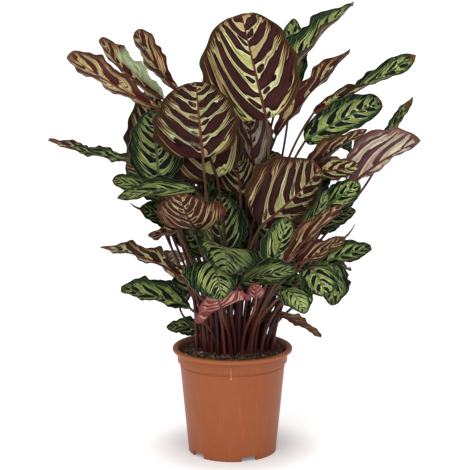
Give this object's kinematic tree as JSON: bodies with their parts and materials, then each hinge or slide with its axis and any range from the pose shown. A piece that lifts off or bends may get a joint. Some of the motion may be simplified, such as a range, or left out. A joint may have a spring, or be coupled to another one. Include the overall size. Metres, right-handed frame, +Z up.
{
  "type": "potted peacock plant",
  "caption": "Bushy potted plant with long-stalked, paddle-shaped striped leaves, maroon underneath, in a plain tapered nursery pot of soil.",
  "frame": {"origin": "middle of the pot's base, on the surface that the pot stands on", "axes": "+Z up along the pot's axis, -Y towards the front that the tallest leaves turn their undersides to, +X to the right as seen from the front"},
  "size_m": [0.4217, 0.2806, 0.5187],
  "materials": {
    "pot_plastic": "satin terracotta-coloured moulded plastic",
    "potting_soil": "moist crumbly peat, stood in for by paper's density",
    "leaf_top": "green blades seen from their upper face, with a soft sheen",
    "leaf_underside": "blades seen from their maroon underside, dull",
    "leaf_young": "young rolled-out blades, pink-red, with a soft sheen"
  },
  "bodies": {
    "root": {"pot": "pot_plastic", "soil": "potting_soil", "leaf_crown": "leaf_underside", "leaf_second": "leaf_underside", "leaf_third": "leaf_underside", "leaf_fourth": "leaf_underside", "leaf_left_paddle": "leaf_underside", "leaf_left_curled": "leaf_underside", "leaf_left_upright": "leaf_underside", "leaf_top_right": "leaf_top", "leaf_top_behind": "leaf_top", "leaf_right_long": "leaf_underside", "leaf_right_twisted": "leaf_top", "leaf_right_bright": "leaf_top", "leaf_right_tipped": "leaf_top", "leaf_right_pale": "leaf_underside", "leaf_left_thin_a": "leaf_top", "leaf_left_thin_b": "leaf_top", "leaf_left_dark_back": "leaf_underside", "leaf_left_green": "leaf_top", "leaf_left_flat": "leaf_top", "leaf_left_yellow": "leaf_top", "leaf_left_shaded": "leaf_top", "leaf_front_fan": "leaf_underside", "leaf_left_dark": "leaf_underside", "leaf_low_left_waved": "leaf_underside", "leaf_front_wide": "leaf_top", "leaf_front_drooping": "leaf_top", "leaf_front_right": "leaf_top", "leaf_front_pink": "leaf_young", "leaf_front_bud": "leaf_young", "leaf_low_left_folded": "leaf_top", "leaf_low_left_small": "leaf_top", "leaf_low_right_pale": "leaf_top", "leaf_right_round": "leaf_top", "leaf_right_hanging": "leaf_top", "leaf_right_low_long": "leaf_top", "leaf_low_right_brown": "leaf_underside", "leaf_inner_back": "leaf_underside", "leaf_upper_pale": "leaf_underside", "leaf_right_edge_on": "leaf_underside", "leaf_right_small": "leaf_underside", "leaf_right_mid": "leaf_top", "leaf_right_curved": "leaf_top", "leaf_right_level": "leaf_top", "leaf_right_brown": "leaf_underside", "leaf_right_striped": "leaf_underside", "leaf_inner_striped": "leaf_top", "leaf_left_dark_low": "leaf_underside", "leaf_inner_mid": "leaf_top", "leaf_back_tall": "leaf_top", "leaf_back_left_high": "leaf_top", "leaf_back_right_high": "leaf_top", "leaf_back_left": "leaf_top", "leaf_back_right": "leaf_top", "leaf_back_middle": "leaf_top", "leaf_back_left_low": "leaf_underside", "leaf_back_right_low": "leaf_top", "leaf_back_low": "leaf_underside", "leaf_back_edge": "leaf_top"}
  },
  "joints": []
}
